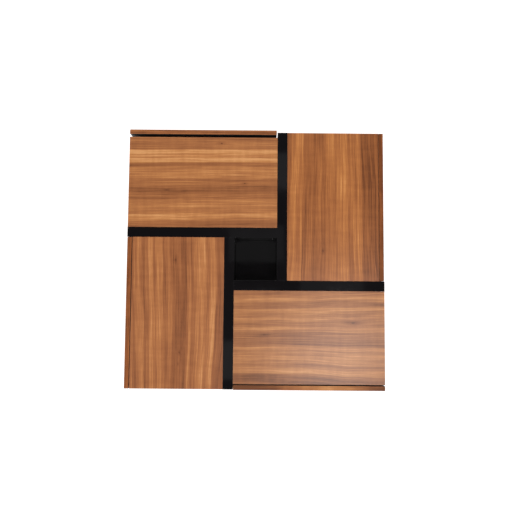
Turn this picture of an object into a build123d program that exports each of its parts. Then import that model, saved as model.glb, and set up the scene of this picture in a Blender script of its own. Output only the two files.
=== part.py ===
from build123d import *
import os

# Square coffee table with four storage drawers, set out as a pinwheel round an open centre well.
# Four black divider boards stand in a pinwheel. Behind each divider's outer face is one drawer bay with a
# walnut top, a walnut end panel and a drawer that opens away from the middle of the table.
# Everything is drawn once for the bay that faces -Y, then turned by quarter turns about Z.
# Units are millimetres. The origin is on the floor under the middle of the table, +Z up.

# ---- driving dimensions ----
table_size = 900.0  # outside, from carcass side to carcass side
table_height = 360.0
foot_height = 20.0
well_width = 150.0  # clear width of the centre well
well_depth = 90.0  # from the table top down to the well floor
divider_thickness = 35.0
board = 16.0  # tops, ends, bottoms and drawer fronts
drawer_board = 12.0  # drawer sides and backs
drawer_sheet = 6.0  # drawer bottoms
well_floor_thickness = 10.0

# ---- gaps and clearances ----
joint_gap = 0.1  # between a top, end or bottom board and the divider beside it
divider_proud = 0.5  # how far a divider's outer end stands out past the walnut boards
nominal_front_gap = 2.0  # between the carcass and a drawer front
least_front_gap = 0.5  # the same, with the drawer pushed right in
front_end_gap = 2.0  # between a drawer front and the divider at its inner end
front_foot_gap = 4.0  # how far a drawer front stops above the underside of the carcass
fastener_gap = 0.05  # round a fastener in its hole
well_floor_gap = 0.2  # round the well floor and at the ends of its cleats
overcut = 0.01  # how far a cutter starts outside the face that it cuts

# ---- drawer ----
drawer_length = 306.0
drawer_side_height = 250.0
drawer_clear_below = 16.0
sheet_rise = 10.0  # from the lower edge of a drawer side to the drawer bottom
groove_depth = 6.0
groove_play = 0.15

# ---- ball-bearing runners ----
runner_length = 300.0
runner_room = 12.7  # between a drawer side and the carcass
runner_height = 45.0
runner_middle_height = 150.0  # of the runner's centre line above the floor
runner_set_back = 2.0  # of the runner's front end behind the carcass edge
runner_steel = 1.2
drawer_travel = 285.0  # from the nominal closed place to the runner's stop
cabinet_section = {"depth": 0.0, "half_height": runner_height / 2, "flange_to": 9.5}
middle_section = {"depth": 3.4, "half_height": 17.9, "flange_to": 10.2}
drawer_section = {"depth": runner_room, "half_height": 13.3, "flange_to": 5.6}
outer_cage = {"depth": 6.4, "height": 19.6, "start": 180.0}  # between cabinet and middle members
inner_cage = {"depth": 8.2, "height": 15.0, "start": 10.0}  # between middle and drawer members
cage_length = 110.0
cage_width = 5.0
cage_thickness = 0.8
ball_size = 2.8
ball_pitch = 15.0

# ---- feet and the cleats under the well floor ----
foot_diameter = 32.0
foot_chamfer = 1.5
foot_well_diameter = 11.0  # the well in its underside, where its screw goes in
foot_well_depth = 8.0
cleat_width = 18.0

# ---- fasteners: length and shank diameter ----
connector_screw = (75.0, 5.0)
foot_screw = (24.0, 4.0)
cleat_screw = (34.0, 4.0)
cabinet_runner_screw = (12.0, 3.6)
drawer_runner_screw = (10.0, 3.6)
drawer_back_screw = (38.0, 4.0)
sheet_screw = (22.0, 3.5)
screw_point = 0.8  # diameter of a screw's point
pan_head_height = 1.4
dowel_length = 30.0
dowel_diameter = 8.0
dowel_chamfer = 0.8
carcass_cam = {"diameter": 15.0, "depth": 12.5, "bolt_depth": 8.0, "edge": 24.0, "reach": 11.0}
drawer_cam = {"diameter": 12.0, "depth": 9.5, "bolt_depth": 6.0, "edge": 20.0, "reach": 11.0}
bolt = {"head": 6.4, "head_length": 3.5, "head_back": 2.5, "neck": 4.6, "thread": 6.0, "bore": 7.0}
cam_slot_back = 4.0  # from a cam's middle to the back of the slot that takes the bolt's head
cam_slot_play = 0.6
cam_cross_depth = 2.0
cam_sunk = 0.2  # of a cam's face below the board's face

# ---- where the fittings stand in the bay that faces -Y ----
rear_cam_x = (20.0, 370.0)  # top and bottom boards to the divider behind them
side_cam_set_back = 52.0  # top and bottom boards to the divider beside them
end_cam_y = (-400.0, -150.0)  # end panel up into the top
end_cam_z = (80.0, 260.0)  # end panel to the divider behind it
bottom_cam_y = -250.0  # bottom board to the end panel
rear_dowel_x = (120.0, 270.0)
end_dowel_z = 200.0
bottom_dowel_y = -330.0
connector_screw_z = (60.0, 190.0, 320.0)
outer_foot = (410.0, -405.0)  # under the bottom board
divider_foot_x = (420.0, -50.0)  # under the divider behind the bay
cleat_screw_x = (-35.0, 35.0)
cabinet_runner_screw_set_back = (35.0, 245.0)
drawer_runner_screw_set_back = (25.0, 235.0)
drawer_cam_z = (100.0, 250.0)  # the screws through the sides into the back stand at the same heights
sheet_screw_x = (40.0, 180.0, 320.0)

# ---- how far each drawer front stands off the carcass at rest ----
rest_front_gap = {"front": 4.0, "right": 1.0, "back": 10.5, "left": 2.0}
quarter_turns = {"front": 0, "right": 1, "back": 2, "left": 3}

# ---- places worked out from the driving dimensions ----
outer = table_size / 2
inner = well_width / 2
rear = inner + divider_thickness
carcass_front = outer - board - nominal_front_gap  # distance of the carcass edge from the middle
board_rear = rear + joint_gap
board_left = -inner + joint_gap
end_inside = outer - board
top_under = table_height - board
bottom_top = foot_height + board
well_floor_top = table_height - well_depth
well_floor_under = well_floor_top - well_floor_thickness
divider_middle = inner + divider_thickness / 2

drawer_left = -inner + runner_room
drawer_right = end_inside - runner_room
drawer_low = bottom_top + drawer_clear_below
drawer_high = drawer_low + drawer_side_height
sheet_low = drawer_low + sheet_rise
sheet_high = sheet_low + drawer_sheet
runner_front = -carcass_front + runner_set_back

east, west = Vector(1, 0, 0), Vector(-1, 0, 0)
north, south = Vector(0, 1, 0), Vector(0, -1, 0)
up = Vector(0, 0, 1)


# ---- small shape helpers ----
def block(x, y, z):
    """Box between two places on each axis."""
    size = [high - low for low, high in (x, y, z)]
    middle = [(low + high) / 2 for low, high in (x, y, z)]
    return Pos(*middle) * Box(*size)


def rod(start, direction, diameter, length):
    """Cylinder that runs from a point along a direction."""
    place = Plane(origin=start, z_dir=direction)
    return place * Cylinder(diameter / 2, length, align=(Align.CENTER, Align.CENTER, Align.MIN))


def taper(start, direction, diameter, end_diameter, length):
    """Cone that runs from a point along a direction."""
    place = Plane(origin=start, z_dir=direction)
    return place * Cone(
        diameter / 2, end_diameter / 2, length, align=(Align.CENTER, Align.CENTER, Align.MIN)
    )


def cross_recess(face, direction, width, depth):
    """Cutter for the cross in a fastener's head."""
    place = Plane(origin=face, z_dir=direction)
    low = (Align.CENTER, Align.CENTER, Align.MIN)
    arm = width / 4
    return place * (Box(width, arm, depth, align=low) + Box(arm, width, depth, align=low))


def drilled(body, cutters):
    return body - cutters if cutters else body


def turned(shape, turns):
    return Rot(0, 0, 90 * turns) * shape


# ---- fasteners: each function gives the solids and the hole they need ----
def cam_fitting(face, into, towards, cam):
    """Cam lock let into a board's face, and the bolt that runs from it through the edge to the next board."""
    heart = face + into * cam["bolt_depth"]
    edge, reach = cam["edge"], cam["reach"]
    lock_height = cam["depth"] - 1.5 * cam_sunk
    lock = rod(face + into * cam_sunk, into, cam["diameter"] - 2 * fastener_gap, lock_height)
    lock -= rod(heart - towards * cam_slot_back, towards, bolt["head"] + cam_slot_play, cam["diameter"])
    lock -= cross_recess(face, into, cam["diameter"] / 2, cam_cross_depth)
    shaft = rod(heart - towards * bolt["head_back"], towards, bolt["head"], bolt["head_length"])
    shaft += rod(heart, towards, bolt["neck"], edge + reach)
    shaft += rod(heart + towards * edge, towards, bolt["thread"], reach)
    hole = rod(face - into * overcut, into, cam["diameter"], cam["depth"])
    hole += rod(heart - towards * bolt["head_length"], towards, bolt["bore"], edge + bolt["head_length"])
    hole += rod(heart, towards, bolt["thread"] + 2 * fastener_gap, edge + reach + cam_sunk)
    return [*lock.solids(), *shaft.solids()], hole


def dowel(middle, along):
    peg = rod(middle - along * (dowel_length / 2), along, dowel_diameter, dowel_length)
    peg = chamfer(peg.edges().filter_by(GeomType.CIRCLE), dowel_chamfer)
    room = dowel_length + 1
    hole = rod(middle - along * (room / 2), along, dowel_diameter + 2 * fastener_gap, room)
    return [peg], hole


def threaded_shank(start, into, length, shank):
    """Straight for most of its length, then tapered to a point."""
    straight = length * 0.85
    body = rod(start, into, shank, straight)
    return body + taper(start + into * straight, into, shank, screw_point, length - straight)


def screw_bore(face, into, length, shank):
    return rod(face - into * overcut, into, shank + 2 * fastener_gap, length + 0.5)


def countersunk_screw(face, into, size):
    """Wood screw with its head flush in the face."""
    length, shank = size
    head, head_height = shank * 2, shank * 0.6
    start = face + into * 2 * fastener_gap
    body = taper(start, into, head, shank, head_height) + threaded_shank(start, into, length, shank)
    body -= cross_recess(start, into, shank * 1.1, head_height)
    play = 4 * fastener_gap
    hole = taper(face, into, head + play, shank + play, head_height + 2 * fastener_gap)
    return [body], hole + screw_bore(face, into, length, shank)


def pan_screw(seat, into, size):
    """Screw whose domed head stands on a plate; seat is the plate's face, and into points through it."""
    length, shank = size
    body = taper(seat, into * -1, shank * 2, shank * 1.5, pan_head_height)
    body += threaded_shank(seat, into, length, shank)
    body -= cross_recess(seat - into * pan_head_height, into, shank * 1.1, pan_head_height * 0.8)
    return [body], screw_bore(seat, into, length, shank)


def gather(fittings):
    """Splits a list of (solids, hole) into one list of solids and one list of holes."""
    solids = [solid for made, _ in fittings for solid in made]
    holes = [hole for _, hole in fittings]
    return solids, holes


# ---- carcass fittings of the bay that faces -Y ----
def carcass_cams():
    edge = carcass_cam["edge"]
    rear_row, left_row = -board_rear - edge, board_left + edge
    fittings = []
    for x in rear_cam_x:
        fittings.append(cam_fitting(Vector(x, rear_row, top_under), up, north, carcass_cam))
        fittings.append(cam_fitting(Vector(x, rear_row, foot_height), up, north, carcass_cam))
    front_row = -carcass_front + side_cam_set_back
    for low in (top_under, foot_height):
        fittings.append(cam_fitting(Vector(left_row, front_row, low), up, west, carcass_cam))
    for y in end_cam_y:
        fittings.append(cam_fitting(Vector(end_inside, y, top_under - edge), east, up, carcass_cam))
    for z in end_cam_z:
        fittings.append(cam_fitting(Vector(end_inside, rear_row, z), east, north, carcass_cam))
    bottom_place = Vector(end_inside - edge, bottom_cam_y, foot_height)
    fittings.append(cam_fitting(bottom_place, up, east, carcass_cam))
    return fittings


def carcass_dowels():
    joint = -rear - joint_gap / 2
    fittings = []
    for x in rear_dowel_x:
        fittings.append(dowel(Vector(x, joint, top_under + board / 2), north))
        fittings.append(dowel(Vector(x, joint, foot_height + board / 2), north))
    fittings.append(dowel(Vector(end_inside + board / 2, joint, end_dowel_z), north))
    fittings.append(dowel(Vector(end_inside, bottom_dowel_y, foot_height + board / 2), east))
    return fittings


def divider_screws():
    """Long connector screws through the divider beside the bay into the end of the divider behind it."""
    places = [Vector(-rear, -divider_middle, z) for z in connector_screw_z]
    return [countersunk_screw(place, east, connector_screw) for place in places]


def foot_places():
    """Where a bay's feet stand, one under its bottom board and two under the divider behind it."""
    return [Vector(*outer_foot, 0)] + [Vector(x, -divider_middle, 0) for x in divider_foot_x]


def cleat_screws():
    face = -inner + cleat_width
    height = well_floor_under - cleat_width / 2
    return [countersunk_screw(Vector(x, face, height), south, cleat_screw) for x in cleat_screw_x]


def foot_screws():
    return [countersunk_screw(place + up * foot_well_depth, up, foot_screw) for place in foot_places()]


def runner_screws():
    """Screws that hold the two cabinet runner members of a bay."""
    fittings = []
    for set_back in cabinet_runner_screw_set_back:
        y, z = runner_front + set_back, runner_middle_height
        left_seat = Vector(-inner + runner_steel, y, z)
        right_seat = Vector(end_inside - runner_steel, y, z)
        fittings.append(pan_screw(left_seat, west, cabinet_runner_screw))
        fittings.append(pan_screw(right_seat, east, cabinet_runner_screw))
    return fittings


# ---- carcass boards of the bay that faces -Y ----
def divider():
    return block((-inner, outer + divider_proud), (-rear, -inner), (foot_height, table_height))


def top_panel():
    return block((board_left, outer), (-carcass_front, -board_rear), (top_under, table_height))


def end_panel():
    return block((end_inside, outer), (-carcass_front, -board_rear), (foot_height, top_under))


def bottom_panel():
    return block((board_left, end_inside), (-carcass_front, -board_rear), (foot_height, bottom_top))


def foot(place):
    """Round plastic foot with a screw well in its underside."""
    body = rod(place, up, foot_diameter, foot_height)
    body = chamfer(body.edges().group_by(Axis.Z)[0], foot_chamfer)
    return body - rod(place - up * overcut, up, foot_well_diameter, foot_well_depth + overcut)


def well_cleat():
    """One of four strips that go round under the well floor, each with its end at the next one's face."""
    return block(
        (-inner + cleat_width + well_floor_gap, inner - well_floor_gap),
        (-inner, -inner + cleat_width),
        (well_floor_under - cleat_width, well_floor_under),
    )


def well_floor():
    reach = inner - well_floor_gap
    return block((-reach, reach), (-reach, reach), (well_floor_under, well_floor_top))


# ---- runners, drawn for the left side of the bay, with depth measured from the carcass face ----
def channel(section, start):
    """C-shaped steel strip: its web at the section's depth, and its two flanges reaching to flange_to."""
    depth, flange_to, half_height = section["depth"], section["flange_to"], section["half_height"]
    y = (start, start + runner_length)
    web_end = depth + (runner_steel if flange_to > depth else -runner_steel)
    strip = block(sorted((depth, web_end)), y, (-half_height, half_height))
    for side in (-1, 1):
        edge = sorted((side * half_height, side * (half_height - runner_steel)))
        strip += block(sorted((depth, flange_to)), y, edge)
    return strip


def cage_row(cage, side, runner_start):
    """Strip that carries a row of balls between two runner members, above or below their middle."""
    depth, height, start = cage["depth"], side * cage["height"], runner_start + cage["start"]
    strip = block(
        (depth - cage_width / 2, depth + cage_width / 2),
        (start, start + cage_length),
        (height - cage_thickness / 2, height + cage_thickness / 2),
    )
    balls = int(cage_length // ball_pitch)
    lead = (cage_length - (balls - 1) * ball_pitch) / 2
    for n in range(balls):
        strip += Pos(depth, start + lead + n * ball_pitch, height) * Sphere(ball_size / 2)
    return strip


def ball_cages(runner_start):
    """Outer rows near the back of the middle member, inner rows near its front."""
    return [cage_row(cage, side, runner_start) for side in (-1, 1) for cage in (outer_cage, inner_cage)]


def on_both_sides(shapes):
    """Places runner pieces at the left of the bay, and their mirror images at the right."""
    placed = []
    for shape in shapes:
        placed.append(Pos(-inner, 0, runner_middle_height) * shape)
        placed.append(Pos(end_inside, 0, runner_middle_height) * mirror(shape, Plane.YZ))
    return placed


# ---- drawer of the bay that faces -Y; back_of_front is the Y of the drawer front's inner face ----
def drawer_front(back_of_front):
    body = block(
        (-inner + front_end_gap, outer),
        (back_of_front - board, back_of_front),
        (foot_height + front_foot_gap, table_height),
    )
    return body - sheet_groove(back_of_front)


def drawer_side(low_x, back_of_front):
    body = block(
        (low_x, low_x + drawer_board),
        (back_of_front, back_of_front + drawer_length),
        (drawer_low, drawer_high),
    )
    return body - sheet_groove(back_of_front)


def drawer_back(back_of_front):
    rear_face = back_of_front + drawer_length
    return block(
        (drawer_left + drawer_board, drawer_right - drawer_board),
        (rear_face - drawer_board, rear_face),
        (sheet_high + groove_play, drawer_high),
    )


def drawer_bottom(back_of_front):
    edge = drawer_board - groove_depth + groove_play
    return block(
        (drawer_left + edge, drawer_right - edge),
        (back_of_front - groove_depth + groove_play, back_of_front + drawer_length),
        (sheet_low, sheet_high),
    )


def sheet_groove(back_of_front):
    """The space that the drawer bottom slides into."""
    edge = drawer_board - groove_depth
    return block(
        (drawer_left + edge, drawer_right - edge),
        (back_of_front - groove_depth, back_of_front + drawer_length + 1),
        (sheet_low - groove_play, sheet_high + groove_play),
    )


def drawer_fittings(back_of_front):
    """Cams from the sides into the front, and screws through the sides and the sheet into the back."""
    fittings = []
    cam_row = back_of_front + drawer_cam["edge"]
    back_row = back_of_front + drawer_length - drawer_board / 2
    for z in drawer_cam_z:
        left_inside = Vector(drawer_left + drawer_board, cam_row, z)
        right_inside = Vector(drawer_right - drawer_board, cam_row, z)
        fittings.append(cam_fitting(left_inside, west, south, drawer_cam))
        fittings.append(cam_fitting(right_inside, east, south, drawer_cam))
        fittings.append(countersunk_screw(Vector(drawer_left, back_row, z), east, drawer_back_screw))
        fittings.append(countersunk_screw(Vector(drawer_right, back_row, z), west, drawer_back_screw))
    for x in sheet_screw_x:
        fittings.append(countersunk_screw(Vector(x, back_row, sheet_low), up, sheet_screw))
    return fittings


def drawer_runner_screws(runner_start):
    fittings = []
    for set_back in drawer_runner_screw_set_back:
        for x, into in ((drawer_left - runner_steel, east), (drawer_right + runner_steel, west)):
            seat = Vector(x, runner_start + set_back, runner_middle_height)
            fittings.append(pan_screw(seat, into, drawer_runner_screw))
    return fittings


# ---- putting the pieces in their nodes ----
def export(name, solids):
    export_step(Compound(list(solids)), f"parts/{name}.step")


def separate(shapes):
    return [solid for shape in shapes for solid in shape.solids()]


def build_carcass(nodes):
    cams, cam_holes = gather(carcass_cams())
    dowels, dowel_holes = gather(carcass_dowels())
    long_screws, long_holes = gather(divider_screws())
    foot_fixings, foot_holes = gather(foot_screws())
    cleat_fixings, cleat_holes = gather(cleat_screws())
    runner_fixings, runner_holes = gather(runner_screws())
    own_holes = cam_holes + dowel_holes + long_holes + foot_holes + cleat_holes + runner_holes
    neighbour_holes = [turned(hole, 1) for hole in own_holes]
    divider_body = drilled(divider(), own_holes + neighbour_holes)
    boards = {
        "divider": divider_body,
        "top_panel": drilled(top_panel(), own_holes),
        "end_panel": drilled(end_panel(), own_holes),
        "bottom_panel": drilled(bottom_panel(), own_holes),
    }
    shared = {
        "feet": [drilled(foot(place), foot_holes) for place in foot_places()],
        "wood_screws": foot_fixings + cleat_fixings + runner_fixings,
        "divider_screws": long_screws,
        "cam_fittings": cams,
        "dowels": dowels,
        "well_cleats": [drilled(well_cleat(), cleat_holes)],
        "cabinet_runners": [
            drilled(shape, runner_holes) for shape in on_both_sides([channel(cabinet_section, runner_front)])
        ],
    }
    for side, turns in quarter_turns.items():
        for kind, body in boards.items():
            nodes[f"{kind}_{side}"] = [turned(body, turns)]
        for name, bodies in shared.items():
            nodes.setdefault(name, []).extend(turned(body, turns) for body in bodies)
    nodes["well_floor"] = [well_floor()]


def build_drawer(nodes, side):
    turns = quarter_turns[side]
    slid = rest_front_gap[side] - nominal_front_gap
    back_of_front = -carcass_front - rest_front_gap[side]
    box_fixings, box_holes = gather(drawer_fittings(back_of_front))
    drawer_runner_start = runner_front - slid
    middle_runner_start = runner_front - slid / 2
    runner_fixings, runner_holes = gather(drawer_runner_screws(drawer_runner_start))
    holes = box_holes + runner_holes
    right_side = drawer_right - drawer_board
    pieces = {
        "drawer_front": [drilled(drawer_front(back_of_front), holes)],
        "drawer_left_side": [drilled(drawer_side(drawer_left, back_of_front), holes)],
        "drawer_right_side": [drilled(drawer_side(right_side, back_of_front), holes)],
        "drawer_back": [drilled(drawer_back(back_of_front), holes)],
        "drawer_bottom": [drilled(drawer_bottom(back_of_front), holes)],
        "drawer_runners": [
            drilled(shape, holes) for shape in on_both_sides([channel(drawer_section, drawer_runner_start)])
        ],
        "drawer_fixings": box_fixings + runner_fixings,
        "middle_runners": on_both_sides([channel(middle_section, middle_runner_start)]),
        "ball_cages": on_both_sides(ball_cages(middle_runner_start)),
    }
    for kind, bodies in pieces.items():
        nodes[f"{kind}_{side}"] = [turned(body, turns) for body in bodies]


nodes = {}
build_carcass(nodes)
for side in quarter_turns:
    build_drawer(nodes, side)

os.makedirs("parts", exist_ok=True)
for name, shapes in nodes.items():
    export(name, separate(shapes))
print(len(nodes), "nodes")
for side, gap in rest_front_gap.items():
    inwards = gap - least_front_gap
    outwards = drawer_travel - (gap - nominal_front_gap)
    print(side, "drawer slides", inwards, "in and", outwards, "out from rest")
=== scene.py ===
import bpy
from math import radians, pi
from mathutils import Matrix, Vector


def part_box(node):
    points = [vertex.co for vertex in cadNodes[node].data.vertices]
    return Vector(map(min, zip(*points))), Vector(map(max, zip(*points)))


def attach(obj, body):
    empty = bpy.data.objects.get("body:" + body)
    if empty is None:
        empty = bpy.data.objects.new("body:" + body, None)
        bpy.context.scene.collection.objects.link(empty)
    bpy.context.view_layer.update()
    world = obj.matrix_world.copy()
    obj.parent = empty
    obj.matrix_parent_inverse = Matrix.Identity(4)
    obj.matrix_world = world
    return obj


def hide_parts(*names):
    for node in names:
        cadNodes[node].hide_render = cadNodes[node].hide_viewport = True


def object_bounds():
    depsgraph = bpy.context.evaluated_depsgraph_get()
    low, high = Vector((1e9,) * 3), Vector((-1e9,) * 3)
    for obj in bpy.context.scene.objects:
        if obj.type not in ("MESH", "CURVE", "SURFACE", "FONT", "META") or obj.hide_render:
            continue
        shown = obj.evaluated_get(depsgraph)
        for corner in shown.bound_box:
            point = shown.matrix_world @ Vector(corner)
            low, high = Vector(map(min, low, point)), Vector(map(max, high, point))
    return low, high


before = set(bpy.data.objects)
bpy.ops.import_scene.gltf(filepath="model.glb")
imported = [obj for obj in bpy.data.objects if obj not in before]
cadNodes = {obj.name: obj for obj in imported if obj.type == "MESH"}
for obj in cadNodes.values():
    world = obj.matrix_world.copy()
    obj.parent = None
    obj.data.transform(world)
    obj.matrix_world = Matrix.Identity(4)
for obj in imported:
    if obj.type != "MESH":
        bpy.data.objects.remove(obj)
cadLow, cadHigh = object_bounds()
mm = 0.001
sides = ["front", "right", "back", "left"]
print("stage: frame loaded,", len(cadNodes), "CAD nodes")


# a direction of the unit that faces -Y, turned to where the named unit stands
def turned(vector, side):
    return Matrix.Rotation(radians(90 * sides.index(side)), 3, "Z") @ Vector(vector)


def deselectAll():
    if bpy.context.mode != "OBJECT":
        bpy.ops.object.mode_set(mode="OBJECT")
    bpy.ops.object.select_all(action="DESELECT")


def makeActive(piece):
    deselectAll()
    piece.select_set(True)
    bpy.context.view_layer.objects.active = piece


def applyAll(piece):
    makeActive(piece)
    for modifier in list(piece.modifiers):
        bpy.ops.object.modifier_apply(modifier=modifier.name)


# sRGB 0-255 to the linear colour that shaders want
def tint(red, green, blue):
    linear = []
    for channel in (red, green, blue):
        share = channel / 255
        linear.append(share / 12.92 if share < 0.04045 else ((share + 0.055) / 1.055) ** 2.4)
    return (*linear, 1.0)


def grey(level):
    return (level, level, level, 1.0)


# short names for the shader nodes that every material uses
def startTree(owner):
    owner.use_nodes = True
    owner.node_tree.nodes.clear()
    return owner.node_tree


def feed(tree, socket, value):
    if isinstance(value, bpy.types.NodeSocket):
        tree.links.new(value, socket)
    else:
        socket.default_value = value


def calc(tree, operation, first, second=0.0, third=0.0):
    node = tree.nodes.new("ShaderNodeMath")
    node.operation = operation
    for socket, value in zip(node.inputs, (first, second, third)):
        feed(tree, socket, value)
    return node.outputs[0]


def vectorOf(tree, x, y, z=0.0):
    node = tree.nodes.new("ShaderNodeCombineXYZ")
    for socket, value in zip(node.inputs, (x, y, z)):
        feed(tree, socket, value)
    return node.outputs[0]


def noiseOf(tree, vector, scale=1.0, detail=2.0, roughness=0.5):
    node = tree.nodes.new("ShaderNodeTexNoise")
    tree.links.new(vector, node.inputs["Vector"])
    node.inputs["Scale"].default_value = scale
    node.inputs["Detail"].default_value = detail
    node.inputs["Roughness"].default_value = roughness
    return node.outputs["Fac"]


def remap(tree, value, fromLow, fromHigh, toLow, toHigh):
    node = tree.nodes.new("ShaderNodeMapRange")
    node.interpolation_type = "SMOOTHSTEP"
    for socket, number in zip(node.inputs, (value, fromLow, fromHigh, toLow, toHigh)):
        feed(tree, socket, number)
    return node.outputs["Result"]


def rampOf(tree, value, stops, interpolation="LINEAR"):
    node = tree.nodes.new("ShaderNodeValToRGB")
    tree.links.new(value, node.inputs["Fac"])
    ramp = node.color_ramp
    ramp.interpolation = interpolation
    ramp.elements.remove(ramp.elements[1])
    ramp.elements[0].position, ramp.elements[0].color = stops[0]
    for place, colour in stops[1:]:
        ramp.elements.new(place).color = colour
    return node.outputs["Color"]


def bumpOf(tree, height, distance):
    node = tree.nodes.new("ShaderNodeBump")
    node.inputs["Strength"].default_value = 1.0
    node.inputs["Distance"].default_value = distance
    tree.links.new(height, node.inputs["Height"])
    return node.outputs["Normal"]


def surfaceOf(tree, **values):
    shader = tree.nodes.new("ShaderNodeBsdfPrincipled")
    for name, value in values.items():
        feed(tree, shader.inputs[name.replace("_", " ")], value)
    output = tree.nodes.new("ShaderNodeOutputMaterial")
    tree.links.new(shader.outputs[0], output.inputs["Surface"])


# Walnut veneer: broad bands listed for each top, then streaks, fibre, pores and pin knots.
# A noise layer is (repeats per metre along the grain, repeats per metre across it, depth). The first three
# bend the bands, in metres; the others lighten and darken them.
walnutLook = {
    "palette": [
        (0.0, tint(112, 65, 36)),
        (0.22, tint(142, 86, 49)),
        (0.5, tint(167, 105, 61)),
        (0.78, tint(193, 128, 74)),
        (1.0, tint(218, 157, 101)),
    ],
    "wave": (2.4, 5.0, 3.0 * mm),
    "lens": (5.0, 16.0, 2.6 * mm),
    "ripple": (14.0, 20.0, 1.0 * mm),
    "mottle": (3.5, 26.0, 0.26),
    "streak": (2.6, 120.0, 0.34),
    "thread": (4.5, 300.0, 0.4),
    "fine": (11.0, 800.0, 0.36),
    "fibre": (45.0, 2600.0, 0.18),
    "curl": (55.0, 12.0, 0.13),
    "pores": (90.0, 1500.0, 0.5),
    "poreStart": 0.12,  # how strong the pore noise is where a pore begins
    "poreFull": 0.24,
    "poreDarkness": 0.14,
    "poreRoughness": 0.5,  # added roughness for each unit of pore darkness
    "poreDip": -4.0,  # relief for each unit of pore darkness
    "refraction": 1.48,
    "bumpHeight": 0.05 * mm,
}

# Round a pin knot the bands bulge, and its heart and halo are dark. Reaches are in knot radii, and a stretch
# is how much longer the spot is along the grain than across it.
knotLook = {
    "bulge": 0.8,
    "bulgeReach": 5,
    "bulgeStretch": 3.0,
    "heartDarkness": 0.5,
    "heartStretch": 1.5,
    "haloDarkness": 0.18,
    "haloReach": 3,
    "haloStretch": 2.5,
}

# Where the bands lie across each top, from its drawer side to its divider side, 0 dark to 1 bright. Knots are
# (along from the inner end, across from the drawer side, radius) in metres. A sway is how far the bands lean
# over towards the drawer side, in millimetres, at shares of the way from the inner end to the outer: first
# along the drawer side, then along the divider side. A stain multiplies the leaf's colour.
figures = {
    "back": {
        "bands": [
            (0.0, 0.42), (0.05, 0.48), (0.115, 0.48), (0.135, 0.9), (0.16, 0.92), (0.185, 0.64),
            (0.21, 0.66), (0.235, 0.92), (0.265, 0.86), (0.285, 0.46), (0.31, 0.4), (0.335, 0.64),
            (0.41, 0.7), (0.45, 0.66), (0.47, 0.44), (0.54, 0.42), (0.59, 0.26), (0.64, 0.4),
            (0.69, 0.42), (0.74, 0.62), (0.775, 0.7), (0.82, 0.5), (0.85, 0.56), (0.885, 0.8),
            (0.93, 0.68), (0.965, 0.42), (1.0, 0.36),
        ],
        "knots": [(0.198, 0.022, 0.004), (0.115, 0.165, 0.003), (0.39, 0.19, 0.0025)],
        "sway": [
            [(0.0, -7), (0.5, -6.5), (1.0, -9)],
            [(0.0, 14), (0.25, 13.5), (0.5, 8.5), (1.0, 5)],
        ],
        "seed": 11.0,
        "stain": (1.0, 1.0, 1.0),
    },
    "right": {
        "bands": [
            (0.0, 0.26), (0.05, 0.16), (0.1, 0.24), (0.17, 0.2), (0.19, 0.46), (0.215, 0.62),
            (0.26, 0.5), (0.315, 0.4), (0.345, 0.58), (0.38, 0.68), (0.43, 0.6), (0.465, 0.48),
            (0.51, 0.62), (0.555, 0.54), (0.6, 0.38), (0.62, 0.28), (0.655, 0.46), (0.69, 0.3),
            (0.715, 0.26), (0.75, 0.4), (0.81, 0.28), (0.835, 0.34), (0.85, 0.66), (0.88, 0.54),
            (0.93, 0.68), (0.965, 0.56), (1.0, 0.34),
        ],
        "knots": [(0.105, 0.196, 0.003)],
        "sway": [
            [(0.0, 7), (0.25, 0), (0.6, 0), (1.0, -7)],
            [(0.0, -5), (0.25, 1.5), (0.55, 2), (0.8, 8.5), (1.0, 9)],
        ],
        "seed": 23.0,
        "stain": (1.0, 0.92, 0.78),
    },
    "front": {
        "bands": [
            (0.0, 0.22), (0.045, 0.28), (0.07, 0.66), (0.11, 0.68), (0.16, 0.48), (0.2, 0.62),
            (0.25, 0.64), (0.3, 0.54), (0.34, 0.48), (0.365, 0.66), (0.4, 0.36), (0.45, 0.32),
            (0.52, 0.34), (0.56, 0.5), (0.59, 0.6), (0.63, 0.42), (0.66, 0.5), (0.7, 0.7),
            (0.73, 0.46), (0.765, 0.54), (0.8, 0.72), (0.835, 0.36), (0.88, 0.4), (0.91, 0.68),
            (0.95, 0.6), (0.98, 0.38), (1.0, 0.32),
        ],
        "knots": [(0.107, 0.17, 0.004), (0.415, 0.212, 0.005)],
        "sway": [
            [(0.0, -21), (0.45, -21), (0.8, -6), (1.0, -5)],
            [(0.0, 14), (0.45, 10), (0.7, 0), (1.0, -5)],
        ],
        "seed": 37.0,
        "stain": (1.0, 1.05, 1.12),
    },
    "left": {
        "bands": [
            (0.0, 0.36), (0.035, 0.6), (0.065, 0.72), (0.095, 0.56), (0.115, 0.36), (0.15, 0.4),
            (0.19, 0.68), (0.22, 0.6), (0.245, 0.48), (0.27, 0.6), (0.3, 0.72), (0.33, 0.56),
            (0.36, 0.42), (0.41, 0.54), (0.46, 0.34), (0.53, 0.32), (0.595, 0.22), (0.615, 0.46),
            (0.64, 0.6), (0.67, 0.42), (0.72, 0.58), (0.77, 0.72), (0.815, 0.62), (0.84, 0.46),
            (0.88, 0.68), (0.915, 0.74), (0.945, 0.34),
        ],
        "knots": [(0.08, 0.152, 0.004), (0.4, 0.17, 0.0022), (0.44, 0.167, 0.002)],
        "sway": [
            [(0.0, -1), (0.3, -4), (0.6, -16), (1.0, -25)],
            [(0.0, 11), (0.4, 5), (0.6, 10), (1.0, 27)],
        ],
        "seed": 51.0,
        "stain": (0.965, 0.925, 0.94),
    },
}


def grainPlace(tree):
    uvMap = tree.nodes.new("ShaderNodeUVMap")
    uvMap.uv_map = "grain"
    split = tree.nodes.new("ShaderNodeSeparateXYZ")
    tree.links.new(uvMap.outputs["UV"], split.inputs[0])
    return split.outputs["X"], split.outputs["Y"]


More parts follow.
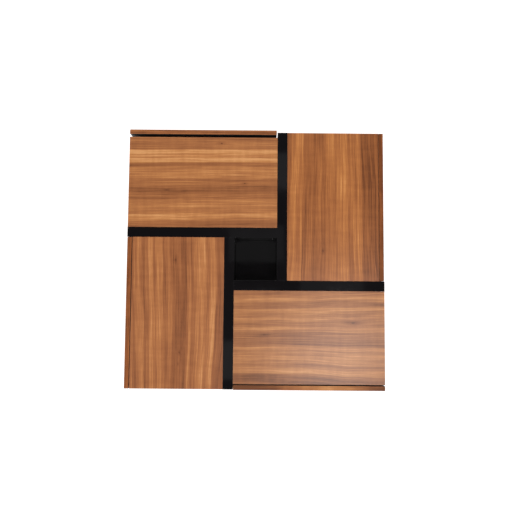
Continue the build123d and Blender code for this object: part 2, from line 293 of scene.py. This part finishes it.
# one noise layer, from about -1 to 1 times its depth
def grainNoise(tree, along, across, layer, seed, detail=2.0):
    perMetreAlong, perMetreAcross, depth = layer
    alongScaled = calc(tree, "MULTIPLY", along, perMetreAlong)
    acrossScaled = calc(tree, "MULTIPLY", across, perMetreAcross)
    place = vectorOf(tree, alongScaled, acrossScaled, seed)
    centred = calc(tree, "SUBTRACT", noiseOf(tree, place, detail=detail), 0.5)
    return calc(tree, "MULTIPLY", centred, 2 * depth)


def total(tree, *values):
    result = values[0]
    for value in values[1:]:
        result = calc(tree, "ADD", result, value)
    return result


# a soft spot round a pin knot, long along the grain: 1 at its middle, 0 at reach
def knotSpot(tree, along, across, knot, reach, stretch):
    alongAway = calc(tree, "DIVIDE", calc(tree, "SUBTRACT", along, knot[0]), stretch)
    acrossAway = calc(tree, "SUBTRACT", across, knot[1])
    alongSquared = calc(tree, "MULTIPLY", alongAway, alongAway)
    acrossSquared = calc(tree, "MULTIPLY", acrossAway, acrossAway)
    squared = calc(tree, "ADD", alongSquared, acrossSquared)
    return remap(tree, calc(tree, "SQRT", squared), 0.0, reach, 1.0, 0.0)


# a listed curve of values, from -reach / 2 to reach / 2, at shares of the length
def curveAlong(tree, along, length, curve, reach):
    stops = [(share, grey(0.5 + value / reach)) for share, value in curve]
    level = tree.nodes.new("ShaderNodeSeparateColor")
    tree.links.new(rampOf(tree, calc(tree, "DIVIDE", along, length), stops, "EASE"), level.inputs[0])
    return calc(tree, "MULTIPLY", calc(tree, "SUBTRACT", level.outputs["Red"], 0.5), reach)


# the lean of the bands, blended from the curve along the drawer side to the one along the divider side
def swayOf(tree, along, across, width, sway):
    swayReach = 60.0
    nearDrawer, nearDivider = (curveAlong(tree, along, topLength, curve, swayReach) for curve in sway)
    share = calc(tree, "DIVIDE", across, width)
    lean = calc(tree, "MULTIPLY_ADD", calc(tree, "SUBTRACT", nearDivider, nearDrawer), share, nearDrawer)
    return calc(tree, "MULTIPLY", lean, mm)


def walnut(name, figure, width, seed, knots=(), roughness=0.36, specular=0.5):
    look = walnutLook
    material = bpy.data.materials.new(name)
    tree = startTree(material)
    along, across = grainPlace(tree)
    wave = grainNoise(tree, along, across, look["wave"], seed, 1.0)
    lens = grainNoise(tree, along, across, look["lens"], seed + 1, 1.0)
    ripple = grainNoise(tree, along, across, look["ripple"], seed + 2, 1.0)
    swept = total(tree, across, wave, lens, ripple)
    if figure["sway"]:
        swept = total(tree, swept, swayOf(tree, along, across, width, figure["sway"]))
    for knot in knots:
        radius = knot[2]
        bulge = knotSpot(tree, along, across, knot, radius * knotLook["bulgeReach"], knotLook["bulgeStretch"])
        swept = total(tree, swept, calc(tree, "MULTIPLY", bulge, radius * knotLook["bulge"]))
    stops = [(place, grey(level)) for place, level in figure["bands"]]
    bandTone = tree.nodes.new("ShaderNodeSeparateColor")
    tree.links.new(rampOf(tree, calc(tree, "DIVIDE", swept, width), stops, "EASE"), bandTone.inputs[0])
    mottle = grainNoise(tree, along, swept, look["mottle"], seed + 3)
    streak = grainNoise(tree, along, swept, look["streak"], seed + 4)
    thread = grainNoise(tree, along, swept, look["thread"], seed + 5)
    fine = grainNoise(tree, along, swept, look["fine"], seed + 6)
    fibre = grainNoise(tree, along, swept, look["fibre"], seed + 8)
    curl = grainNoise(tree, along, across, look["curl"], seed + 10)
    tone = total(tree, bandTone.outputs["Red"], mottle, streak, thread, fine, fibre, curl)
    for knot in knots:
        radius = knot[2]
        heart = knotSpot(tree, along, across, knot, radius, knotLook["heartStretch"])
        halo = knotSpot(tree, along, across, knot, radius * knotLook["haloReach"], knotLook["haloStretch"])
        tone = calc(tree, "SUBTRACT", tone, calc(tree, "MULTIPLY", heart, knotLook["heartDarkness"]))
        tone = calc(tree, "SUBTRACT", tone, calc(tree, "MULTIPLY", halo, knotLook["haloDarkness"]))
    poreNoise = grainNoise(tree, along, swept, look["pores"], seed + 12, 1.0)
    pores = remap(tree, poreNoise, look["poreStart"], look["poreFull"], 0.0, look["poreDarkness"])
    tone = calc(tree, "SUBTRACT", tone, pores)
    # the listed shade curve is added to the colour: on the front edge strip it is a painted highlight, and on
    # the other edge strips it is an even offset
    if "shade" in figure:
        shadeReach = 2.0
        shade = curveAlong(tree, along, drawerFrontLength, figure["shade"], shadeReach)
        tone = calc(tree, "ADD", tone, shade)
    stained = tree.nodes.new("ShaderNodeVectorMath")
    stained.operation = "MULTIPLY"
    tree.links.new(rampOf(tree, tone, look["palette"]), stained.inputs[0])
    stained.inputs[1].default_value = figure["stain"]
    relief = total(tree, fine, calc(tree, "MULTIPLY", pores, look["poreDip"]))
    surfaceOf(
        tree,
        Base_Color=stained.outputs[0],
        Roughness=calc(tree, "ADD", calc(tree, "MULTIPLY", pores, look["poreRoughness"]), roughness),
        IOR=look["refraction"],
        Specular_IOR_Level=specular,
        Normal=bumpOf(tree, relief, look["bumpHeight"]),
    )
    return material


def objectPlace(tree):
    return tree.nodes.new("ShaderNodeTexCoord").outputs["Object"]


# most of a noise lies between these
noiseLow = 0.3
noiseHigh = 0.7


# a colour that clouds over from dark to light
def clouded(tree, level, look):
    return rampOf(tree, level, [(noiseLow, look["dark"]), (noiseHigh, look["light"])])


# a roughness that follows fine specks
def speckled(tree, speck, look):
    smooth, rough = look["roughness"]
    return remap(tree, speck, noiseLow, noiseHigh, smooth, rough)


lacquerLook = {
    "dark": tint(11, 9, 11),
    "light": tint(15, 13, 15),
    "cloudScale": 5.0,
    "smearScale": 14.0,
    "smearFrom": 0.4,
    "smearTo": 0.75,
    "polished": 0.05,
    "smeared": 0.11,
    "orangePeelScale": 260.0,
    "orangePeelHeight": 0.01 * mm,
    "refraction": 1.5,
}


def blackLacquer():
    look = lacquerLook
    material = bpy.data.materials.new("blackLacquer")
    tree = startTree(material)
    place = objectPlace(tree)
    smear = noiseOf(tree, place, look["smearScale"], 4.0, 0.6)
    orangePeel = noiseOf(tree, place, look["orangePeelScale"], 1.0)
    surfaceOf(
        tree,
        Base_Color=clouded(tree, noiseOf(tree, place, look["cloudScale"]), look),
        Roughness=remap(tree, smear, look["smearFrom"], look["smearTo"], look["polished"], look["smeared"]),
        IOR=look["refraction"],
        Normal=bumpOf(tree, orangePeel, look["orangePeelHeight"]),
    )
    return material


# Finishes with a cloudy colour and fine specks: pits in melamine, the weave of a printed sheet, the grain of
# plated or cast metal, the spark-eroded grain of moulded plastic.
speckledLooks = {
    "blackMelamine": {
        "dark": tint(27, 26, 27),
        "light": tint(36, 35, 35),
        "cloudScale": 9.0,
        "cloudDetail": 3.0,
        "speckScale": 1400.0,
        "speckDetail": 2.0,
        "speckHeight": 0.06 * mm,
        "roughness": (0.5, 0.62),
    },
    "darkSheet": {
        "dark": tint(38, 36, 35),
        "light": tint(50, 47, 45),
        "cloudScale": 30.0,
        "cloudDetail": 3.0,
        "speckScale": 2200.0,
        "speckDetail": 1.0,
        "speckHeight": 0.05 * mm,
        "roughness": (0.55, 0.75),
    },
    "blackPlastic": {
        "dark": tint(22, 22, 23),
        "light": tint(30, 30, 31),
        "cloudScale": 40.0,
        "cloudDetail": 2.0,
        "speckScale": 2600.0,
        "speckDetail": 2.0,
        "speckHeight": 0.05 * mm,
        "roughness": (0.45, 0.6),
    },
}
metalLook = {
    "metal": True,
    "cloudScale": 55.0,
    "cloudDetail": 4.0,
    "cloudRoughness": 0.6,
    "speckScale": 1800.0,
    "speckDetail": 2.0,
    "speckHeight": 0.02 * mm,
}
speckledLooks["runnerSteel"] = metalLook | {
    "dark": (0.5, 0.51, 0.53, 1),
    "light": (0.66, 0.67, 0.69, 1),
    "roughness": (0.28, 0.4),
}
speckledLooks["screwSteel"] = metalLook | {
    "dark": (0.58, 0.57, 0.54, 1),
    "light": (0.72, 0.71, 0.68, 1),
    "roughness": (0.24, 0.36),
}
speckledLooks["castZinc"] = metalLook | {
    "dark": (0.36, 0.36, 0.37, 1),
    "light": (0.5, 0.5, 0.51, 1),
    "roughness": (0.42, 0.54),
}


def speckledFinish(name):
    look = speckledLooks[name]
    material = bpy.data.materials.new(name)
    tree = startTree(material)
    place = objectPlace(tree)
    cloud = noiseOf(tree, place, look["cloudScale"], look["cloudDetail"], look.get("cloudRoughness", 0.5))
    speck = noiseOf(tree, place, look["speckScale"], look["speckDetail"])
    surfaceOf(
        tree,
        Base_Color=clouded(tree, cloud, look),
        Metallic=1.0 if "metal" in look else 0.0,
        Roughness=speckled(tree, speck, look),
        Normal=bumpOf(tree, speck, look["speckHeight"]),
    )
    return material


# raw edges of particle board inside the holes and grooves
chipLook = {
    "dark": tint(150, 118, 84),
    "light": tint(206, 176, 134),
    "chipsPerMetre": 420.0,
    "chipHeight": 0.3 * mm,
    "roughness": 0.85,
}


def chipCore():
    look = chipLook
    material = bpy.data.materials.new("chipCore")
    tree = startTree(material)
    chips = tree.nodes.new("ShaderNodeTexVoronoi")
    tree.links.new(objectPlace(tree), chips.inputs["Vector"])
    chips.inputs["Scale"].default_value = look["chipsPerMetre"]
    shade = tree.nodes.new("ShaderNodeSeparateColor")
    tree.links.new(chips.outputs["Color"], shade.inputs[0])
    surfaceOf(
        tree,
        Base_Color=rampOf(tree, shade.outputs["Red"], [(0.0, look["dark"]), (1.0, look["light"])]),
        Roughness=look["roughness"],
        Normal=bumpOf(tree, chips.outputs["Distance"], look["chipHeight"]),
    )
    return material


# solid beech for the dowels, and stained black for the cleats
timberLook = {
    "grainScale": (60.0, 60.0, 900.0),
    "roughness": (0.6, 0.75),
    "grainHeight": 0.08 * mm,
}
timberTones = {
    "blackBeech": {"dark": tint(24, 21, 20), "light": tint(40, 36, 34)},
    "rawBeech": {"dark": tint(186, 146, 102), "light": tint(214, 180, 136)},
}


def plainTimber(name):
    look = timberLook | timberTones[name]
    material = bpy.data.materials.new(name)
    tree = startTree(material)
    stretch = tree.nodes.new("ShaderNodeMapping")
    stretch.inputs["Scale"].default_value = look["grainScale"]
    tree.links.new(objectPlace(tree), stretch.inputs["Vector"])
    grain = noiseOf(tree, stretch.outputs[0], 1.0, 3.0)
    surfaceOf(
        tree,
        Base_Color=clouded(tree, grain, look),
        Roughness=speckled(tree, grain, look),
        Normal=bumpOf(tree, grain, look["grainHeight"]),
    )
    return material


topLow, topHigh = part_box("top_panel_front")
topLength = topHigh.x - topLow.x
topWidth = topHigh.y - topLow.y
frontLow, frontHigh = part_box("drawer_front_front")
frontHeight = frontHigh.z - frontLow.z
drawerFrontLength = frontHigh.x - frontLow.x
topVeneer = {}
for side, figure in figures.items():
    topVeneer[side] = walnut(f"walnutTop_{side}", figure, topWidth, figure["seed"], figure["knots"])

# each drawer front shows another leaf of the same veneer, so it borrows a neighbour's bands
frontLeaf = {"front": "left", "right": "back", "back": "right", "left": "front"}
leafSeedStep = 70
frontVeneer = {}
for side, other in frontLeaf.items():
    figure = figures[other]
    frontVeneer[side] = walnut(f"walnutFront_{side}", figure, frontHeight, figure["seed"] + leafSeedStep)

# The edge strips are a duller veneer from another roll. A shade darkens or lightens it at shares of the
# drawer front's length. On the front strip it is a painted highlight, dark at the ends and brightest a little
# past the middle. On the other strips it is one even offset along the whole length.
edgeLook = {
    "bands": [(0.0, 0.3), (0.2, 0.42), (0.45, 0.2), (0.7, 0.38), (1.0, 0.25)],
    "sway": [],
    "width": 20 * mm,
    "seed": 5.0,
    "roughness": 0.5,
    "specular": 0.2,
}
edges = {
    "front": {
        # painted highlight along the front edge strip: dark at both ends, brightest a little past the middle
        "shade": [
            (0.0, -0.8), (0.25, -0.38), (0.36, 0.04), (0.5, 0.4), (0.62, 0.72), (0.72, 0.45), (1.0, -0.28),
        ],
        "stain": (1.0, 1.04, 1.08),
    },
    "right": {"shade": [(0.0, -0.16), (1.0, -0.16)], "stain": (1.0, 0.88, 0.74)},
    "back": {"shade": [(0.0, 0.08), (1.0, 0.08)], "stain": (1.0, 0.99, 1.0)},
    "left": {"shade": [(0.0, -0.06), (1.0, -0.06)], "stain": (1.0, 0.9, 0.78)},
}
edgeVeneer = {}
for side, edge in edges.items():
    look = edgeLook | edge
    edgeVeneer[side] = walnut(
        f"walnutEdge_{side}",
        look,
        look["width"],
        look["seed"],
        roughness=look["roughness"],
        specular=look["specular"],
    )
lacquer = blackLacquer()
melamine = speckledFinish("blackMelamine")
core = chipCore()
sheetFinish = speckledFinish("darkSheet")
runnerSteel = speckledFinish("runnerSteel")
screwSteel = speckledFinish("screwSteel")
castZinc = speckledFinish("castZinc")
footPlastic = speckledFinish("blackPlastic")
blackBeech = plainTimber("blackBeech")
rawBeech = plainTimber("rawBeech")
print("stage: materials made")


# A box a hair larger than the CAD board gets rounded arrises, then keeps only what it shares with the CAD
# board, so that the flats, holes and grooves stay where the CAD has them.
boards = {
    "hair": 0.02 * mm,
    "topArris": 0.6 * mm,
    "frontArris": 0.8 * mm,
    "frontCorner": 1.5 * mm,
    "endArris": 0.6 * mm,
    "dividerArris": 0.4 * mm,
    "drawerArris": 1.0 * mm,
    "plainArris": 0.6 * mm,
    "arrisSegments": 3,
    "plainSegments": 2,
    "cornerSegments": 4,
    "skinDepth": 1.6 * mm,  # deeper than this, a face lies in a hole or groove
}
mergeReach = 0.001 * mm
shading = {"sharpAngle": 35, "flatWeight": 100}

# how nearly a face looks along a direction, as a cosine
squarely = 0.9
mostly = 0.5


# how far one end of an edge is above the other
def rise(ends):
    return abs(ends[0].z - ends[1].z)


# bevels the edges whose two ends pass the test
def bevelEdges(piece, offset, segments, wanted):
    makeActive(piece)
    bpy.ops.object.mode_set(mode="EDIT")
    bpy.ops.mesh.select_all(action="DESELECT")
    bpy.ops.object.mode_set(mode="OBJECT")
    points = piece.data.vertices
    for edge in piece.data.edges:
        edge.select = wanted([points[n].co for n in edge.vertices])
    bpy.ops.object.mode_set(mode="EDIT")
    bpy.ops.mesh.select_mode(type="EDGE")
    bpy.ops.mesh.bevel(offset=offset, segments=segments, profile=0.5, affect="EDGES")
    bpy.ops.object.mode_set(mode="OBJECT")


# smooth over the roundings, flat on the flats
def flattenShading(piece):
    makeActive(piece)
    bpy.ops.object.shade_smooth_by_angle(angle=radians(shading["sharpAngle"]))
    flatten = piece.modifiers.new("flatten", "WEIGHTED_NORMAL")
    flatten.keep_sharp = True
    flatten.weight = shading["flatWeight"]
    applyAll(piece)


# a CAD node's mesh is loose triangles, so its copy is merged into one skin
def mergedCopy(pieceName, nodeName):
    piece = bpy.data.objects.new(pieceName, cadNodes[nodeName].data.copy())
    bpy.context.scene.collection.objects.link(piece)
    piece.data.materials.clear()
    makeActive(piece)
    bpy.ops.object.mode_set(mode="EDIT")
    bpy.ops.mesh.select_all(action="SELECT")
    bpy.ops.mesh.remove_doubles(threshold=mergeReach)
    bpy.ops.object.mode_set(mode="OBJECT")
    return piece


def roundedBoard(pieceName, nodeName, arris, corner=0.0, segments=boards["arrisSegments"]):
    hair = boards["hair"]
    low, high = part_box(nodeName)
    deselectAll()
    bpy.ops.mesh.primitive_cube_add(size=1, location=(low + high) / 2)
    piece = bpy.context.active_object
    piece.name = pieceName
    piece.data.name = pieceName
    piece.scale = high - low + Vector((2 * hair,) * 3)
    bpy.ops.object.transform_apply(location=True, rotation=True, scale=True)
    if corner:
        bevelEdges(piece, corner, boards["cornerSegments"], lambda ends: rise(ends) > corner)
        bevelEdges(piece, arris + hair, segments, lambda ends: rise(ends) < hair)
    else:
        bevelEdges(piece, arris + hair, segments, lambda ends: True)
    blank = mergedCopy("blank", nodeName)
    keep = piece.modifiers.new("keep", "BOOLEAN")
    keep.operation = "INTERSECT"
    keep.solver = "EXACT"
    keep.object = blank
    applyAll(piece)
    bpy.data.objects.remove(blank)
    piece.data.materials.clear()
    flattenShading(piece)
    return piece


# finishes: 0 on the broad face that thickness points away from, 1 on the edges, 2 in holes and grooves,
# 3 on the broad face that thickness points out of
def finishBoard(piece, nodeName, thickness, faceFinish, edgeFinish, coreFinish=None, backFinish=None):
    low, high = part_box(nodeName)
    for material in (faceFinish, edgeFinish, coreFinish or edgeFinish, backFinish or faceFinish):
        piece.data.materials.append(material)
    depth = boards["skinDepth"]
    for face in piece.data.polygons:
        if all(low[n] + depth < face.center[n] < high[n] - depth for n in range(3)):
            face.material_index = 2
        elif face.normal.dot(thickness) > squarely:
            face.material_index = 3
        elif abs(face.normal.dot(thickness)) > mostly:
            face.material_index = 0
        else:
            face.material_index = 1


# the edge that faces the drawer front is not veneered
def blackenEdge(piece, outward):
    piece.data.materials.append(melamine)
    last = len(piece.data.materials) - 1
    for face in piece.data.polygons:
        if face.normal.dot(outward) > mostly:
            face.material_index = last


# Lays the veneer: along and across are the directions of its length and width on the broad faces. Each edge
# takes another lane of the roll, and the ends lie endLane further over.
def layVeneer(piece, nodeName, along, across, lane, start=0.0):
    endLane = 0.3
    low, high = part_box(nodeName)
    thickness = along.cross(across)
    firstAlong = min(along.dot(low), along.dot(high))
    firstAcross = min(across.dot(low), across.dot(high))
    firstThick = min(thickness.dot(low), thickness.dot(high))
    layer = piece.data.uv_layers.new(name="grain")
    for face in piece.data.polygons:
        facing = face.normal
        onFace = abs(facing.dot(thickness)) > mostly
        onLongEdge = not onFace and abs(facing.dot(across)) > abs(facing.dot(along))
        for corner in face.loop_indices:
            place = piece.data.vertices[piece.data.loops[corner].vertex_index].co
            lengthways = along.dot(place) - firstAlong
            crossways = across.dot(place) - firstAcross
            through = thickness.dot(place) - firstThick
            if onFace:
                spot = (start + lengthways, crossways)
            elif onLongEdge:
                spot = (start + lengthways, lane + through)
            else:
                spot = (crossways, lane + endLane + through)
            layer.data[corner].uv = spot


# how much nearer each drawer front comes to the divider beside it than its CAD board does
dividerReach = {"front": 1.4 * mm, "right": 1.3 * mm, "back": -1.0 * mm, "left": 1.0 * mm}


def reachDivider(piece, nodeName, east, reach):
    low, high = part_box(nodeName)
    nearEnd = min(east.dot(low), east.dot(high)) + 2 * boards["frontCorner"]
    makeActive(piece)
    bpy.ops.object.mode_set(mode="EDIT")
    bpy.ops.mesh.select_mode(type="VERT")
    bpy.ops.mesh.select_all(action="DESELECT")
    bpy.ops.object.mode_set(mode="OBJECT")
    for point in piece.data.vertices:
        point.select = east.dot(point.co) < nearEnd
    bpy.ops.object.mode_set(mode="EDIT")
    bpy.ops.transform.translate(value=-reach * east)
    bpy.ops.object.mode_set(mode="OBJECT")


def dress(piece, body, nodeName):
    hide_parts(nodeName)
    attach(piece, body)


# which lane of the edge roll each kind of board takes, past its unit's own number
edgeLanes = {"top": 1.0, "end": 1.4, "front": 1.7}
plainSegments = boards["plainSegments"]
upward = Vector((0, 0, 1))
for number, side in enumerate(sides):
    east = turned((1, 0, 0), side)
    north = turned((0, 1, 0), side)

    node = f"top_panel_{side}"
    piece = roundedBoard(f"walnut_top_{side}", node, boards["topArris"])
    finishBoard(piece, node, upward, topVeneer[side], edgeVeneer[side], core)
    blackenEdge(piece, -north)
    layVeneer(piece, node, east, north, number + edgeLanes["top"])
    dress(piece, "carcass", node)

    node = f"end_panel_{side}"
    piece = roundedBoard(f"walnut_end_{side}", node, boards["endArris"])
    finishBoard(piece, node, east, topVeneer[side], edgeVeneer[side], core)
    blackenEdge(piece, -north)
    layVeneer(piece, node, -upward, north, number + edgeLanes["end"], start=topLength)
    dress(piece, "carcass", node)

    node = f"drawer_front_{side}"
    piece = roundedBoard(f"walnut_drawer_front_{side}", node, boards["frontArris"], boards["frontCorner"])
    finishBoard(piece, node, north, frontVeneer[side], edgeVeneer[side], core, melamine)
    reachDivider(piece, node, east, dividerReach[side])
    layVeneer(piece, node, east, upward, number + edgeLanes["front"])
    dress(piece, f"drawer_{side}", node)

    node = f"divider_{side}"
    piece = roundedBoard(f"lacquered_divider_{side}", node, boards["dividerArris"])
    finishBoard(piece, node, north, lacquer, lacquer, core)
    dress(piece, "carcass", node)

    node = f"bottom_panel_{side}"
    piece = roundedBoard(f"melamine_bottom_{side}", node, boards["plainArris"], segments=plainSegments)
    finishBoard(piece, node, upward, melamine, melamine, core)
    dress(piece, "carcass", node)

    for part, thickness in (("left_side", east), ("right_side", east), ("back", north)):
        node = f"drawer_{part}_{side}"
        name = f"melamine_drawer_{part}_{side}"
        piece = roundedBoard(name, node, boards["drawerArris"], segments=plainSegments)
        finishBoard(piece, node, thickness, melamine, melamine, core)
        dress(piece, f"drawer_{side}", node)

piece = roundedBoard("lacquered_well_floor", "well_floor", boards["plainArris"], segments=plainSegments)
finishBoard(piece, "well_floor", upward, lacquer, lacquer)
dress(piece, "carcass", "well_floor")
print("stage: boards made")


# runners, feet and cleats keep their CAD shape with its sharp edges softened
softEdges = {
    "steel": 0.35 * mm,
    "foot": 1.0 * mm,
    "cleat": 0.8 * mm,
    "segments": 2,
    "sharperThan": 50,
    "flatterThan": 0.5,
}


def softened(pieceName, nodeName, width, finish, body):
    piece = mergedCopy(pieceName, nodeName)
    piece.data.materials.append(finish)
    bpy.ops.object.mode_set(mode="EDIT")
    bpy.ops.mesh.select_all(action="SELECT")
    bpy.ops.mesh.dissolve_limited(angle_limit=radians(softEdges["flatterThan"]))
    bpy.ops.object.mode_set(mode="OBJECT")
    rounding = piece.modifiers.new("rounding", "BEVEL")
    rounding.width = width
    rounding.segments = softEdges["segments"]
    rounding.angle_limit = radians(softEdges["sharperThan"])
    applyAll(piece)
    flattenShading(piece)
    dress(piece, body, nodeName)


# new piece, CAD node, edge softness, finish, material slot, body
softPieces = [
    ("feet_moulded", "feet", "foot", footPlastic, "black_plastic", "carcass"),
    ("cleats_stained", "well_cleats", "cleat", blackBeech, "black_stained_beech", "carcass"),
    ("runners_in_carcass", "cabinet_runners", "steel", runnerSteel, "zinc_plated_steel", "carcass"),
]
for side in sides:
    for kind, body in (("drawer_runners", f"drawer_{side}"), ("middle_runners", f"runner_middle_{side}")):
        rolled = f"{kind}_rolled_{side}"
        softPieces.append((rolled, f"{kind}_{side}", "steel", runnerSteel, "zinc_plated_steel", body))
for pieceName, nodeName, softness, finish, slotName, body in softPieces:
    softened(pieceName, nodeName, softEdges[softness], finish, body)
print("stage: runners, feet and cleats softened")


# the CAD nodes that stay as they are get their finishes
def finishNode(name, material):
    cadNodes[name].data.materials.clear()
    cadNodes[name].data.materials.append(material)


for side in sides:
    finishNode(f"drawer_bottom_{side}", sheetFinish)
    finishNode(f"ball_cages_{side}", screwSteel)
    finishNode(f"drawer_fixings_{side}", screwSteel)
finishNode("cam_fittings", castZinc)
finishNode("wood_screws", screwSteel)
finishNode("divider_screws", screwSteel)
finishNode("dowels", rawBeech)
print("stage: CAD nodes finished")


studio = {
    "floorReach": 30.0,
    "floorDrop": 0.5 * mm,
    "floorWhite": 0.6,
    "floorGlow": 0.85,
    "horizonLight": 1.0,
    "zenithLight": 0.06,
    "dimFrom": 0.55,  # how high the sky starts to darken, as the sine of the elevation
    "dimTo": 0.8,
}


def makeFloor():
    deselectAll()
    bpy.ops.mesh.primitive_plane_add(size=studio["floorReach"], location=(0, 0, -studio["floorDrop"]))
    floor = bpy.context.active_object
    floor.name = "studio_floor"
    material = bpy.data.materials.new("studioFloor")
    tree = startTree(material)
    surfaceOf(
        tree,
        Base_Color=grey(studio["floorWhite"]),
        Roughness=0.9,
        Specular_IOR_Level=0.0,
        Emission_Color=grey(1.0),
        Emission_Strength=studio["floorGlow"],
    )
    floor.data.materials.append(material)


# light all round at the horizon and a dark ceiling, so that gloss black seen from above stays black
def makeSurround():
    world = bpy.data.worlds.new("surround")
    bpy.context.scene.world = world
    tree = startTree(world)
    split = tree.nodes.new("ShaderNodeSeparateXYZ")
    tree.links.new(tree.nodes.new("ShaderNodeTexCoord").outputs["Generated"], split.inputs[0])
    height = split.outputs["Z"]
    level = remap(
        tree, height, studio["dimFrom"], studio["dimTo"], studio["horizonLight"], studio["zenithLight"]
    )
    background = tree.nodes.new("ShaderNodeBackground")
    tree.links.new(vectorOf(tree, level, level, level), background.inputs["Color"])
    output = tree.nodes.new("ShaderNodeOutputWorld")
    tree.links.new(background.outputs[0], output.inputs["Surface"])


softboxes = {
    "key": {"place": (0.62, -0.62, 2.42), "size": (0.7, 0.55), "glow": 13.5},
    "fillLeft": {"place": (-2.0, -0.6, 1.9), "size": (1.6, 1.6), "glow": 1.9},
    "fillBack": {"place": (0.0, 2.3, 1.9), "size": (1.8, 1.6), "glow": 2.0},
    "glowBack": {"place": (0.17, 0.85, 2.6), "size": (0.3, 0.3), "glow": 0.25, "straightDown": True},
    "glowFront": {"place": (-0.24, -0.66, 2.6), "size": (0.3, 0.3), "glow": 0.25, "straightDown": True},
    "glowRight": {"place": (0.6, -0.06, 2.6), "size": (0.5, 0.3), "glow": 0.15, "straightDown": True},
    "glowMiddle": {"place": (0.0, 0.26, 2.6), "size": (0.44, 0.3), "glow": 0.13, "straightDown": True},
    "glowWell": {"place": (0.0, -0.17, 2.6), "size": (0.3, 0.1), "glow": 0.35, "straightDown": True},
}


def makeSoftbox(name, box):
    light = bpy.data.lights.new(name, "AREA")
    light.shape = "RECTANGLE"
    light.size, light.size_y = box["size"]
    light.energy = box["glow"] * pi * light.size * light.size_y
    lamp = bpy.data.objects.new(name, light)
    bpy.context.scene.collection.objects.link(lamp)
    lamp.location = box["place"]
    if not box.get("straightDown"):
        aim = Vector((0.0, 0.0, cadHigh.z)) - lamp.location
        lamp.rotation_euler = aim.to_track_quat("-Z", "Y").to_euler()


# a black card over the lens, which the gloss floor of the well shows as a dark patch
lensCard = {"place": (0.0, 0.02, 2.2), "size": (0.34, 0.16, 0.004)}


def makeLensCard():
    deselectAll()
    bpy.ops.mesh.primitive_cube_add(size=1, location=lensCard["place"])
    card = bpy.context.active_object
    card.name = "studio_lens_card"
    card.scale = lensCard["size"]
    card.data.materials.append(footPlastic)


# the camera looks almost straight down, from a little towards the front
camera = {
    "place": (0.0058, -0.1086),
    "aboveTop": 1.751,
    "turn": (3.72, -0.06, 0.45),
    "lens": 35.065,
    "sensor": 36,
}


def makeCamera():
    lens = bpy.data.cameras.new("camera")
    lens.lens = camera["lens"]
    lens.sensor_width = camera["sensor"]
    eye = bpy.data.objects.new("camera", lens)
    bpy.context.scene.collection.objects.link(eye)
    eye.location = (*camera["place"], cadHigh.z + camera["aboveTop"])
    eye.rotation_euler = [radians(angle) for angle in camera["turn"]]
    bpy.context.scene.camera = eye


makeFloor()
makeSurround()
makeLensCard()
for name, box in softboxes.items():
    makeSoftbox(name, box)
makeCamera()
bpy.context.scene.view_settings.view_transform = "Standard"
print("stage: studio made")
